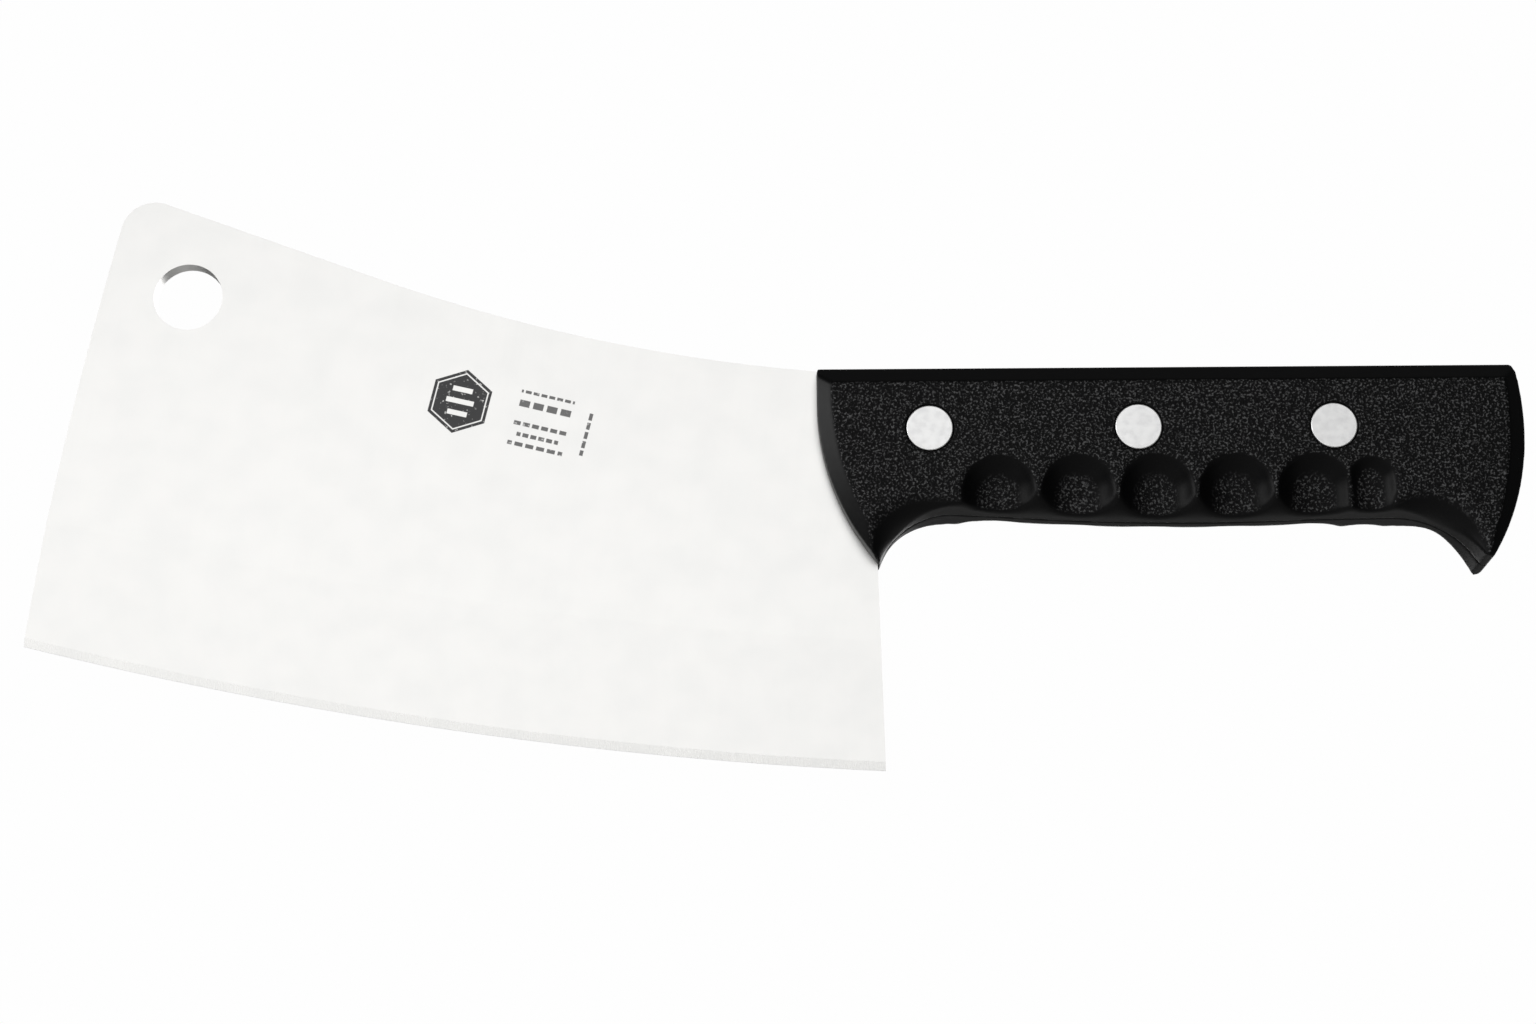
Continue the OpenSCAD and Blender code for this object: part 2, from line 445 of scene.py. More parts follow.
class Recipe:
    """Nodes of one material."""

    def __init__(self, name: str) -> None:
        """Starts a material that holds only its shader."""
        self.material = bpy.data.materials.new(name)
        self.material.use_nodes = True
        self.tree = self.material.node_tree
        self.tree.nodes.clear()
        self.shader = self.add("ShaderNodeBsdfPrincipled")
        self.add("ShaderNodeOutputMaterial", sockets={"Surface": self.shader.outputs[0]})
        self.place = self.add("ShaderNodeTexCoord").outputs["Object"]

    def add(
        self,
        kind: str,
        settings: Mapping[str, Any] | None = None,
        sockets: Mapping[int | str, Any] | None = None,
    ) -> bpy.types.Node:
        """Adds one node.

        Args:
            kind: Type of the node.
            settings: Its settings, which are set first.
            sockets: Values or links of its sockets.

        Returns:
            The node.
        """
        node = self.tree.nodes.new(kind)
        for name, value in (settings or {}).items():
            setattr(node, name, value)
        for name, value in (sockets or {}).items():
            self.put(node, name, value)
        return node

    def put(self, node: bpy.types.Node, name: int | str, value: Any) -> None:
        """Gives a node's socket a value or a link."""
        if isinstance(value, Field):
            value = value.socket
        if isinstance(value, bpy.types.NodeSocket):
            self.tree.links.new(value, node.inputs[name])
        else:
            node.inputs[name].default_value = value

    def coordinates(self) -> tuple[Field, Field, Field]:
        """Place on the cleaver, in millimetres."""
        node = self.add("ShaderNodeSeparateXYZ", sockets={0: self.place})
        x, y, z = (Field(self, socket) / MM for socket in node.outputs)
        return x, y, z

    def facing(self) -> tuple[Field, Field, Field]:
        """Direction in which the surface faces."""
        normal = self.add("ShaderNodeNewGeometry").outputs["Normal"]
        node = self.add("ShaderNodeSeparateXYZ", sockets={0: normal})
        x, y, z = (Field(self, socket) for socket in node.outputs)
        return x, y, z

    def noise(self, size: Sequence[float], detail: float = 2.0, turn: float = 0.0) -> Field:
        """Noise with grains of a given size.

        Args:
            size: Size of a grain along x, y and z, in millimetres.
            detail: How much finer detail it has.
            turn: Turn about Y before the grains are laid.

        Returns:
            The noise, about 0.5 on average.
        """
        stretch = [1 / (length * MM) for length in size]
        turned = self.add(
            "ShaderNodeMapping", sockets={"Vector": self.place, "Rotation": (0.0, turn, 0.0)}
        )
        laid = self.add(
            "ShaderNodeMapping", sockets={"Vector": turned.outputs[0], "Scale": stretch}
        )
        sockets = {"Vector": laid.outputs[0], "Scale": 1.0, "Detail": detail}
        return Field(self, self.add("ShaderNodeTexNoise", sockets=sockets).outputs[0])

    def blend(self, share: Field, first: Any, second: Any) -> bpy.types.NodeSocket:
        """Colour that goes from the first to the second as share goes from 0 to 1."""
        sockets = {0: share, 6: first, 7: second}
        return self.add("ShaderNodeMix", {"data_type": "RGBA"}, sockets).outputs[2]

    def raise_by(self, height: Field, distance: float) -> None:
        """Bumps the surface by a height from 0 to 1 times a distance in millimetres."""
        sockets = {"Height": height, "Distance": distance * MM, "Strength": 1.0}
        bump = self.add("ShaderNodeBump", sockets=sockets)
        self.put(self.shader, "Normal", bump.outputs[0])

    def finish(self, **sockets: Any) -> bpy.types.Material:
        """Sets the shader's sockets, named with _ for a space, and gives the material."""
        for name, value in sockets.items():
            self.put(self.shader, name.replace("_", " "), value)
        return self.material


@dataclass(frozen=True)
class PlainMark:
    """Plain six-sided badge and rows of dashes, darkened into the blade's left face."""

    badge_at: Flat = (64.6, -26.2)
    badge_r: float = 7.9
    badge_tilt: float = math.radians(-13.3)
    bar_gap: float = 2.9
    bar_half: Flat = (3.3, 0.62)
    rows_at: Flat = (83.9, -31.0)
    rows_tilt: float = math.radians(-14.0)
    rows: tuple[tuple[float, float, float, float], ...] = (
        (5.9, 6.4, 0.36, 1.9),
        (3.0, 6.6, 0.8, 3.3),
        (-1.9, 6.7, 0.48, 2.2),
        (-4.5, 5.0, 0.48, 1.9),
        (-6.9, 6.6, 0.48, 2.6),
    )
    column_at: Flat = (10.9, -0.8)
    column_half: Flat = (0.42, 5.4)
    column_pitch: float = 2.3
    side_bar_share: float = 0.72
    rim_in: float = 0.85
    rim_half: float = 0.16
    dash_share: float = 0.74
    dash_soft: float = 0.02
    soft: float = 0.07

    def _near(self, x: Field, z: Field, centre: Flat, tilt: float) -> tuple[Field, Field]:
        """Place as seen from a tilted centre."""
        run, rise = x - centre[0], z - centre[1]
        cosine, sine = math.cos(tilt), math.sin(tilt)
        return run * cosine + rise * sine, rise * cosine - run * sine

    def _bar(self, u: Field, v: Field, half: Flat) -> Field:
        """1 inside a bar about the centre and 0 outside."""
        return (abs(u) - half[0]).higher(abs(v) - half[1]).fall(-self.soft, self.soft)

    def badge(self, x: Field, z: Field) -> Field:
        """How dark the badge is at a place."""
        u, v = self._near(x, z, self.badge_at, self.badge_tilt)
        flat_r = self.badge_r * math.cos(math.pi / 6)
        out = abs(u).higher(abs(u) * math.sin(math.pi / 6) + abs(v) * math.cos(math.pi / 6))
        body = (out - flat_r).fall(-self.soft, self.soft)
        rim = abs(out - (flat_r - self.rim_in))
        rim = rim.fall(self.rim_half - self.soft, self.rim_half + self.soft)
        bars = self._bar(u, v, self.bar_half)
        side_half = (self.bar_half[0] * self.side_bar_share, self.bar_half[1])
        for shift in (-self.bar_gap, self.bar_gap):
            bars = bars.higher(self._bar(u, v - shift, side_half))
        return body * (1.0 - bars.higher(rim))

    def _beat(self, along: Field, pitch: float) -> Field:
        """1 on the dashes of a row and 0 between them."""
        # The whole turns added keep the fraction above zero on both sides of the centre
        beat = abs((along / pitch + 100.0).part() - 0.5)
        return beat.fall(self.dash_share / 2 - self.dash_soft, self.dash_share / 2 + self.dash_soft)

    def dashes(self, x: Field, z: Field) -> Field:
        """How dark the rows of dashes are at a place."""
        u, v = self._near(x, z, self.rows_at, self.rows_tilt)
        dark = None
        for level, half, thick, pitch in self.rows:
            row = self._bar(u, v - level, (half, thick)) * self._beat(u, pitch)
            dark = row if dark is None else dark.higher(row)
        column = self._bar(u - self.column_at[0], v - self.column_at[1], self.column_half)
        return dark.higher(column * self._beat(v, self.column_pitch))


@dataclass(frozen=True)
class GroundSteel:
    """Belt-ground blade steel with a plain mark on its left face."""

    colour: Colour = (0.90, 0.895, 0.878, 1.0)
    cloud: Colour = (0.885, 0.883, 0.868, 1.0)
    ink: Colour = (0.055, 0.055, 0.057, 1.0)
    roughness: float = 0.34
    line_depth: float = 0.0035
    left_face: Flat = (-2.24, -2.0)
    mark: PlainMark = PlainMark()

    def material(
        self, edge_centre: Flat, edge_r: float, grind_h: float, bevel_h: float
    ) -> bpy.types.Material:
        """Makes the finish.

        Args:
            edge_centre: Centre of the cutting edge's arc.
            edge_r: Radius of the cutting edge.
            grind_h: Height of the main grind.
            bevel_h: Height of the sharpening bevel.

        Returns:
            The material.
        """
        recipe = Recipe("ground_steel")
        x, y, z = recipe.coordinates()
        _, face_y, _ = recipe.facing()
        run, rise = x - edge_centre[0], z - edge_centre[1]
        height = edge_r - (run * run + rise * rise).root()
        flat = abs(face_y).rise(0.9, 0.97)
        ground = height.fall(grind_h - 0.15, grind_h + 0.15) * flat
        honed = height.fall(bevel_h - 0.05, bevel_h + 0.05) * flat
        belt = recipe.noise((0.09, 3.0, 22.0), 3.0, turn=math.radians(-9.0))
        cross = recipe.noise((0.07, 3.0, 9.0), 2.0, turn=math.radians(4.0))
        lines = belt * (1.0 - ground) + cross * ground
        clouds = recipe.noise((9.0, 9.0, 7.0), 4.0)
        mottle_and_painted_glints = recipe.noise((0.8, 0.8, 0.8), 3.0)
        left = y.fall(*self.left_face)
        mark = self.mark.badge(x, z).higher(self.mark.dashes(x, z) * 0.8) * left
        mark = mark * mottle_and_painted_glints.rise(0.22, 0.4)
        steel = recipe.blend(clouds.rise(0.3, 0.75), self.colour, self.cloud)
        rough = self.roughness + (lines - 0.5) * 0.10 + (clouds - 0.5) * 0.06
        rough = rough - honed * 0.08 + ground * 0.02
        recipe.raise_by(lines * (1.0 - mark), self.line_depth)
        return recipe.finish(
            Base_Color=recipe.blend(mark, steel, self.ink),
            Metallic=1.0 - mark * 0.9,
            Roughness=rough + mark * 0.2,
        )


@dataclass(frozen=True)
class MouldedPlastic:
    """Black plastic, grained on its sides and smooth on its bevels, with painted glints as lighter
    specks in the colour of its sides.
    """

    colour: Colour = (0.0022, 0.0022, 0.0024, 1.0)
    # Lighter colour of the painted glints: specks that stand in for light glinting off the grain.
    painted_glint_colour: Colour = (0.115, 0.115, 0.117, 1.0)
    roughness: float = 0.40
    shine: float = 0.11
    grain_depth: float = 0.26

    def material(self) -> bpy.types.Material:
        """Makes the finish."""
        recipe = Recipe("moulded_plastic")
        _, face_y, _ = recipe.facing()
        grained = abs(face_y).rise(0.80, 0.96)
        pits = recipe.noise((0.55, 0.55, 0.55), 2.0)
        fine = recipe.noise((0.24, 0.24, 0.24), 1.0)
        grain = pits * 0.75 + fine * 0.25
        wear = recipe.noise((14.0, 14.0, 14.0), 3.0)
        # Painted glints: the lighter specks in the base colour stand in for the sparkle of light off
        # the grained sides.
        mottle_and_painted_glints = grain.rise(0.50, 0.67) * grained
        waves = recipe.noise((2.2, 2.2, 2.2), 2.0)
        recipe.raise_by(grain * grained + waves * 0.12, self.grain_depth)
        return recipe.finish(
            Base_Color=recipe.blend(mottle_and_painted_glints, self.colour, self.painted_glint_colour),
            Roughness=self.roughness + grained * 0.14 + (wear - 0.5) * 0.10 + (fine - 0.5) * 0.12,
            Specular_IOR_Level=self.shine,
        )


@dataclass(frozen=True)
class RivetSteel:
    """Rivet heads, sanded flush along the handle."""

    colour: Colour = (0.92, 0.92, 0.915, 1.0)
    shade: Colour = (0.85, 0.85, 0.85, 1.0)
    roughness: float = 0.40
    line_depth: float = 0.003

    def material(self) -> bpy.types.Material:
        """Makes the finish."""
        recipe = Recipe("sanded_rivet")
        lines = recipe.noise((7.0, 2.0, 0.06), 3.0)
        clouds = recipe.noise((1.6, 1.6, 1.6), 3.0)
        recipe.raise_by(lines, self.line_depth)
        return recipe.finish(
            Base_Color=recipe.blend(clouds.rise(0.35, 0.75), self.colour, self.shade),
            Metallic=1.0,
            Roughness=self.roughness + (lines - 0.5) * 0.12 + (clouds - 0.5) * 0.1,
        )


# ---- Pieces ----


def dress(piece: Piece, name: str, finish: bpy.types.Material, slot: str, *nodes: str) -> Piece:
    """Names a finished piece, gives it its finish and puts it in place of its frame nodes.

    Args:
        piece: Finished piece.
        name: Its name.
        finish: Its material.
        slot: Material slot of the record; not used.
        nodes: Frame nodes that it stands for.

    Returns:
        The piece.
    """
    piece.name = piece.data.name = name
    piece.data.materials.clear()
    piece.data.materials.append(finish)
    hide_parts(*nodes)
    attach(piece, "root")
    log.info("%s: %d faces", name, len(piece.data.polygons))
    return piece


@dataclass
class Grip:
    """Side view of the handle, which the blade and both scales share."""

    front_x: float = 148.2
    top_z: float = -19.5
    front_turn_z: float = -28.2
    front_r: float = 60.0
    guard_centre: Flat = (179.2, -72.0)
    guard_r: float = 17.8
    belly_centre: Flat = (236.2, 543.5)
    belly_r: float = 600.0
    belly_x: Flat = (190.0, 263.0)
    hook_centre: Flat = (282.1, -78.3)
    hook_r: float = 22.6
    hook_tip_z: float = -67.0
    butt_centre: Flat = (254.3, -34.7)
    butt_r: float = 58.7
    step: float = 0.8

    def on_belly(self, x: float) -> Flat:
        """Place on the belly's arc."""
        drop = math.sqrt(self.belly_r**2 - (x - self.belly_centre[0]) ** 2)
        return (x, self.belly_centre[1] - drop)

    def plate(self, low: float, high: float, shift: float = 0.0) -> Piece:
        """Plate of the handle's outline, shifted along X, between two places along Y."""
        front_centre = (self.front_x + self.front_r, self.front_turn_z)
        guard_tip = circles_meet(front_centre, self.front_r, self.guard_centre, self.guard_r)
        hook_tip = level_meets(self.hook_centre, self.hook_r, self.hook_tip_z)
        butt_foot = level_meets(self.butt_centre, self.butt_r, self.hook_tip_z)
        butt_head = level_meets(self.butt_centre, self.butt_r, self.top_z)
        belly_from, belly_to = (self.on_belly(x) for x in self.belly_x)
        line = side_view((self.front_x, self.top_z)).to((self.front_x, self.front_turn_z))
        line.round(front_centre, guard_tip, self.step)
        guard_top = (self.guard_centre[0], self.guard_centre[1] + self.guard_r)
        line.round(self.guard_centre, guard_top, self.step).to(belly_from)
        line.round(self.belly_centre, belly_to, self.step)
        line.to((self.hook_centre[0], self.hook_centre[1] + self.hook_r))
        line.round(self.hook_centre, hook_tip, self.step).to(butt_foot)
        line.round(self.butt_centre, butt_head, self.step).to((self.front_x, self.top_z))
        return line.plate(low, high, shift)


@dataclass
class Steel:
    """Blade and tang in one."""

    grip: Grip
    finish: GroundSteel
    thick: float = 4.5
    hang_d: float = 16.2
    toe_foot: Flat = (-35.2, -83.9)
    toe_head: Flat = (-14.3, 26.4)
    toe_r: float = 1090.0
    toe_corner_r: float = 8.0
    spine_bend: Flat = (45.0, 4.2)
    spine_end: Flat = (148.2, -19.5)
    spine_r: float = 400.0
    heel: Flat = (163.1, -114.4)
    edge_r: float = 1015.0
    grind_h: float = 30.0
    bevel_h: float = 2.0
    bevel_t: float = 1.2
    edge_t: float = 0.2
    tang_t: float = 4.0
    tang_root: Flat = (166.6, -54.0)
    tang_root_r: float = 5.0
    tang_corners: tuple[Flat, ...] = (
        (294.0, -45.5),
        (299.0, -40.75),
        (299.0, -31.25),
        (294.0, -26.5),
        (148.2, -24.0),
    )
    heel_top_z: float = -66.0
    grind_arc: Flat = (250.0, 20.0)
    soft_edge: float = 0.28
    past: float = 0.3
    clear: float = 0.01
    step: float = 1.0

    @property
    def edge_centre(self) -> Flat:
        """Centre of the cutting edge's arc."""
        return circle_through(self.toe_foot, self.heel, self.edge_r)

    def corner(self) -> tuple[Flat, Flat, Flat]:
        """Rounded corner at the top of the toe: its start, its centre and its end."""
        toe_centre = circle_through(self.toe_head, self.toe_foot, self.toe_r)
        out = (Vector(self.toe_head) - Vector(toe_centre)).normalized()
        along_toe = Vector((-out[1], out[0]))
        along_spine = (Vector(self.spine_bend) - Vector(self.toe_head)).normalized()
        inward = (along_toe + along_spine).normalized()
        half = math.acos(inward.dot(along_spine))
        run = self.toe_corner_r / math.tan(half)
        centre = Vector(self.toe_head) + inward * self.toe_corner_r / math.sin(half)
        return (
            tuple(Vector(self.toe_head) + along_spine * run),
            tuple(centre),
            tuple(Vector(self.toe_head) + along_toe * run),
        )

    def plate(self, low: float, high: float, shift: float = 0.0) -> Piece:
        """Plate of the steel's outline, shifted along X, between two places along Y."""
        root_side = (self.tang_root[0] - self.tang_root_r, self.tang_root[1])
        root_top = (self.tang_root[0], self.tang_root[1] + self.tang_root_r)
        spine_centre = circle_through(self.spine_bend, self.spine_end, self.spine_r)
        toe_centre = circle_through(self.toe_head, self.toe_foot, self.toe_r)
        corner_from, corner_centre, corner_to = self.corner()
        line = side_view(self.toe_foot).round(self.edge_centre, self.heel, self.step)
        line.to(root_side).round(self.tang_root, root_top, self.step / 2)
        line.to(*self.tang_corners, self.spine_end)
        line.round(spine_centre, self.spine_bend, self.step).to(corner_from)
        line.round(corner_centre, corner_to, self.step / 2)
        line.round(toe_centre, self.toe_foot, self.step)
        return line.plate(low, high, shift)

    def grind(self) -> Piece:
        """Tool that takes off the main grind and the sharpening bevel on the left."""
        grind_r, bevel_r = self.edge_r - self.grind_h, self.edge_r - self.bevel_h
        start, turn = (math.radians(angle) for angle in self.grind_arc)
        line = section((grind_r, self.thick / 2), self.edge_centre, Side.LEFT, start)
        slope = (self.bevel_t - self.edge_t) / 2 / self.bevel_h
        past = (self.edge_r + self.past, self.edge_t / 2 - slope * self.past)
        line.to((bevel_r, self.bevel_t / 2), past, (past[0], self.thick))
        line.to((grind_r, self.thick), (grind_r, self.thick / 2))
        return line.swept(turn, 240)

    def build(self) -> Piece:
        """Cuts out the steel, grinds it and eases its edges."""
        half = self.thick / 2
        steel = self.plate(-half, half)
        grind = self.grind()
        cut(steel, turned_over(grind, "grind"), grind)
        cheek = self.grip.plate(-self.thick, -self.tang_t / 2, self.clear)
        cut(steel, turned_over(cheek, "cheek"), cheek)
        cut(steel, drill((0.0, 0.0), self.hang_d / 2, -self.thick, self.thick, 144))
        self.ease(steel)
        return dress(
            steel,
            "blade_and_tang",
            self.finish.material(self.edge_centre, self.edge_r, self.grind_h, self.bevel_h),
            "blade_steel",
            "blade",
        )

    def ease(self, steel: Piece) -> None:
        """Rounds the outer edges above the sharpening bevel and keeps the ground lines crisp."""
        hold(steel, editing=True)
        bpy.ops.mesh.remove_doubles(threshold=JOIN)
        lowest = (self.bevel_t / 2 - 0.02) * MM
        front_x, heel_top_z = self.grip.front_x * MM, self.heel_top_z * MM

        def outer(edge: bmesh.types.BMEdge) -> bool:
            """Whether an edge is a square one on the open part of the blade."""
            return (
                len(edge.link_faces) == 2
                and edge.calc_face_angle(0.0) > math.radians(50)
                and all(abs(v.co.y) > lowest for v in edge.verts)
                and not all(v.co.x > front_x and v.co.z > heel_top_z for v in edge.verts)
            )

        pick("edges", outer)
        bpy.ops.mesh.bevel(
            offset=self.soft_edge * MM, segments=3, profile=0.5, affect="EDGES", clamp_overlap=True
        )
        centre = Vector((self.edge_centre[0], 0, self.edge_centre[1])) * MM
        lines = [(self.edge_r - rise) * MM for rise in (self.grind_h, self.bevel_h, 0.0)]

        def ground_line(edge: bmesh.types.BMEdge) -> bool:
            """Whether an edge runs along the grind, the bevel or the cutting edge."""
            reach = [math.hypot(v.co.x - centre.x, v.co.z - centre.z) for v in edge.verts]
            return any(all(abs(r - line) < 2 * JOIN for r in reach) for line in lines)

        pick("edges", ground_line)
        bpy.ops.mesh.mark_sharp()
        let_go()
        hold(steel)
        bpy.ops.object.shade_smooth_by_angle(angle=math.radians(35), keep_sharp_edges=True)
        applied(steel, "WEIGHTED_NORMAL", keep_sharp=True, weight=100)


@dataclass
class Scales:
    """The two moulded halves of the handle."""

    grip: Grip
    steel: Steel
    finish: MouldedPlastic
    half_t: float = 10.0
    tang_half: float = 2.0
    top_flat: float = 4.2
    top_drop: float = 5.0
    front_cone: Flat = (221.0, -25.9)
    front_cone_r: float = 69.5
    front_cone_to_x: float = 178.0
    butt_cone: Flat = (225.7, -33.4)
    butt_cone_r: float = 82.9
    butt_cone_from_x: float = 285.0
    guard_flare: Flat = (173.9, -68.0)
    guard_flare_r: float = 17.4
    hook_flare: Flat = (287.7, -66.2)
    hook_flare_r: float = 15.4
    flare_flat: float = 1.5
    flare_gap: float = 0.05
    belly_round_from: float = 3.0
    belly_round_r: float = 9.6
    belly_drop: float = 4.0
    first_dimple: Flat = (190.0, -50.9)
    dimple_pitch: float = 18.25
    dimples: int = 5
    dimple_r: float = 9.5
    dimple_depth: float = 5.5
    last_dimple: Flat = (276.0, -48.6)
    last_dimple_r: float = 6.0
    last_dimple_depth: float = 3.6
    low_z: float = -80.0
    far_x: float = 320.0
    top_bevel_x: Flat = (147.0, 317.0)
    dimple_draw: float = 12.0
    chord: float = 0.4
    skin: float = 0.5
    easing: int = 5
    dimple_easing: int = 18
    dimple_field: tuple[Flat, Flat] = ((178.0, 284.0), (-58.0, -39.5))

    def end_bevel(self, centre: Flat, radius: float, from_x: float, to_x: float) -> Piece:
        """Tool that bevels an end of the handle: a block less a cone."""
        deep = self.half_t + 2
        waste = block((from_x, -deep + 0.5, self.low_z), (to_x, -0.5, self.grip.top_z + 1))
        cone = taper(centre, (radius + self.half_t + 1, radius - 2), -deep, 1.0, 1440)
        return cut(waste, cone)

    def top_bevel(self) -> Piece:
        """Tool that bevels the top edge."""
        top, out = self.grip.top_z, self.half_t + 1
        from_x, to_x = (x * MM for x in self.top_bevel_x)
        start = Vector((from_x, 0, 0))
        line = Outline((-self.top_flat, top), Vector((0, 1, 0)), Vector((0, 0, 1)), start)
        line.to((-self.half_t, top - self.top_drop), (-out, top - self.top_drop), (-out, top + 1))
        line.to((-self.top_flat, top + 1), (-self.top_flat, top)).filled()
        bpy.ops.mesh.extrude_region_move(TRANSFORM_OT_translate={"value": (to_x - from_x, 0, 0)})
        face_out()
        let_go()
        return line.piece

    def flare(self, open_centre: Flat, open_r: float, centre: Flat, side_r: float) -> Piece:
        """Tool that flares the open space out to a circle on the side of the handle."""
        start_r = open_r - math.dist(open_centre, centre) - self.flare_gap
        drop, run = side_r - start_r, self.half_t - self.flare_flat
        round_r = (drop**2 + run**2) / (2 * drop)
        mid_r = start_r + round_r
        line = section((0.0, self.flare_flat), centre, Side.LEFT).to((start_r, self.flare_flat))
        line.round((mid_r, self.flare_flat), (mid_r, self.flare_flat + round_r), self.chord)
        line.to((mid_r, self.half_t + 0.8), (0.0, self.half_t + 0.8))
        return line.turned(128)

    def belly_round(self) -> Piece:
        """Tool that rounds the underside, from the first dimple to the last full one."""
        belly_r, out = self.grip.belly_r, self.half_t + 1
        start = (belly_r, self.belly_round_from)
        end = (belly_r - self.belly_drop, self.half_t)
        centre = circle_through(start, end, self.belly_round_r)
        from_x, to_x = (x - self.grip.belly_centre[0] for x in self.grip.belly_x)
        first, last = (-math.acos(x / belly_r) for x in (from_x, to_x))
        line = section(start, self.grip.belly_centre, Side.LEFT, first)
        line.round(centre, end, self.chord).to((end[0] - self.chord, out))
        line.to((belly_r + 1, out), (belly_r + 1, self.belly_round_from), start)
        return line.swept(last - first, 90)

    def dimple(self, centre: Flat, radius: float, depth: float) -> Piece:
        """Tool for a finger dimple: a ball whose lower half is drawn down."""
        let_go()
        place = Vector((centre[0], depth - self.half_t - radius, centre[1])) * MM
        bpy.ops.mesh.primitive_uv_sphere_add(
            segments=96, ring_count=48, radius=radius * MM, location=place
        )
        ball = settle(bpy.context.object)
        hold(ball, editing=True)
        pick("verts", lambda vert: vert.co.z < place.z - JOIN)
        bpy.ops.mesh.delete(type="VERT")
        pick("verts", lambda vert: vert.co.z < place.z + JOIN)
        down = {"value": (0, 0, -self.dimple_draw * MM)}
        bpy.ops.mesh.extrude_region_move(TRANSFORM_OT_translate=down)
        bpy.ops.mesh.edge_face_add()
        face_out()
        let_go()
        return ball

    def shape(self, rivets: "Rivets") -> Piece:
        """Cuts the left scale to shape and eases all its edges, as a mould does."""
        scale = self.grip.plate(-self.half_t, 0.0)
        cut(scale, self.top_bevel())
        grip, x = self.grip, self.grip.front_x - 1
        cut(scale, self.end_bevel(self.front_cone, self.front_cone_r, x, self.front_cone_to_x))
        x = self.butt_cone_from_x
        cut(scale, self.end_bevel(self.butt_cone, self.butt_cone_r, x, self.far_x))
        cut(scale, self.flare(grip.guard_centre, grip.guard_r, self.guard_flare, self.guard_flare_r))
        cut(scale, self.flare(grip.hook_centre, grip.hook_r, self.hook_flare, self.hook_flare_r))
        cut(scale, self.belly_round())
        for number in range(self.dimples):
            place = (self.first_dimple[0] + number * self.dimple_pitch, self.first_dimple[1])
            cut(scale, self.dimple(place, self.dimple_r, self.dimple_depth))
        cut(scale, self.dimple(self.last_dimple, self.last_dimple_r, self.last_dimple_depth))
        cut(scale, self.steel.plate(-self.tang_half, 1.0, -self.steel.clear))
        for place in rivets.places:
            cut(scale, drill(place, rivets.sleeve_r, -self.half_t - 1, 1.0))
            cut(scale, drill(place, rivets.recess_r, -self.half_t - 1, rivets.head_t - self.half_t))
        scale.scale = (1 / MM,) * 3
        settle(scale)
        applied(scale, "REMESH", mode="VOXEL", voxel_size=self.skin, use_smooth_shade=True)
        applied(scale, "SMOOTH", factor=0.5, iterations=self.easing)
        self.soften_dimples(scale, rivets)
        scale.scale = (MM,) * 3
        return settle(scale)

    def soften_dimples(self, scale: Piece, rivets: "Rivets") -> None:
        """Rounds the rims of the dimples and leaves the rivet seats and the tang's seat sharp."""
        (from_x, to_x), (from_z, to_z) = self.dimple_field
        clear_r = rivets.recess_r + 1

        def inside(vert: bmesh.types.BMVert) -> bool:
            """Whether a vertex lies by the dimples and clear of the seats."""
            x, y, z = vert.co
            if not (from_x < x < to_x and from_z < z < to_z and y < -self.tang_half - 1):
                return False
            return all(math.dist((x, z), place) > clear_r for place in rivets.places)

        hold(scale, editing=True)
        pick("verts", inside)
        bpy.ops.mesh.vertices_smooth(factor=0.5, repeat=self.dimple_easing)
        let_go()

    def build(self, rivets: "Rivets") -> list[Piece]:
        """Makes both scales."""
        finish = self.finish.material()
        left = self.shape(rivets)
        right = turned_over(left, "right")
        return [
            dress(left, "left_handle_scale", finish, "black_plastic", "left_scale"),
            dress(right, "right_handle_scale", finish, "black_plastic", "right_scale"),
        ]


@dataclass
class Rivets:
    """Three two-part rivets: a stud driven in from the left and a sleeve from the right."""

    finish: RivetSteel
    places: tuple[Flat, ...] = ((174.2, -35.7), (222.6, -35.7), (267.9, -35.7))
    names: tuple[str, ...] = ("front", "middle", "rear")
    half_t: float = 10.0
    head_r: float = 5.4
    head_t: float = 2.0
    recess_r: float = 5.5
    edge_r: float = 0.3
    shank_r: float = 2.0
    sleeve_r: float = 3.0
    shank_reach: float = 6.0
    sleeve_reach: float = 7.0

    def head(self, side: Side) -> Outline:
        """Section of a head, from its axis to the foot of its rim."""
        top, rim = self.half_t, self.head_r - self.edge_r
        line = section((0.0, top), self.places[0], side).to((rim, top))
        line.round((rim, top - self.edge_r), (self.head_r, top - self.edge_r), 0.08)
        return line.to((self.head_r, top - self.head_t))

    def stud(self) -> Piece:
        """Head with a solid shank."""
        foot = self.half_t - self.head_t
        line = self.head(Side.LEFT).to((self.shank_r, foot), (self.shank_r, -self.shank_reach))
        return line.to((0.0, -self.shank_reach)).turned(96)

    def sleeve(self) -> Piece:
        """Head with a hollow shank."""
        foot = self.half_t - self.head_t
        line = self.head(Side.RIGHT).to((self.sleeve_r, foot), (self.sleeve_r, -self.sleeve_reach))
        return line.to((self.shank_r, -self.sleeve_reach), (self.shank_r, foot), (0.0, foot)).turned(96)

    def dressed(self, half: Piece, name: str, kind: str, finish: bpy.types.Material) -> Piece:
        """Dresses one half of the rivet of a given name."""
        return dress(half, f"{name}_{kind}", finish, "rivet_steel", f"{name}_rivet_{kind}")

    def build(self) -> list[Piece]:
        """Makes all six halves."""
        finish = self.finish.material()
        made = []
        for kind, first in (("stud", self.stud()), ("sleeve", self.sleeve())):
            hold(first)
            bpy.ops.object.shade_smooth_by_angle(angle=math.radians(40))
            applied(first, "WEIGHTED_NORMAL", keep_sharp=True, weight=100)
            start = Vector(self.places[0])
            for name, place in zip(self.names[1:], self.places[1:]):
                run, rise = Vector(place) - start
                copy = moved_copy(first, name, Vector((run, 0, rise)) * MM)
                made.append(self.dressed(copy, name, kind, finish))
            made.append(self.dressed(first, self.names[0], kind, finish))
        return made


# ---- Studio ----


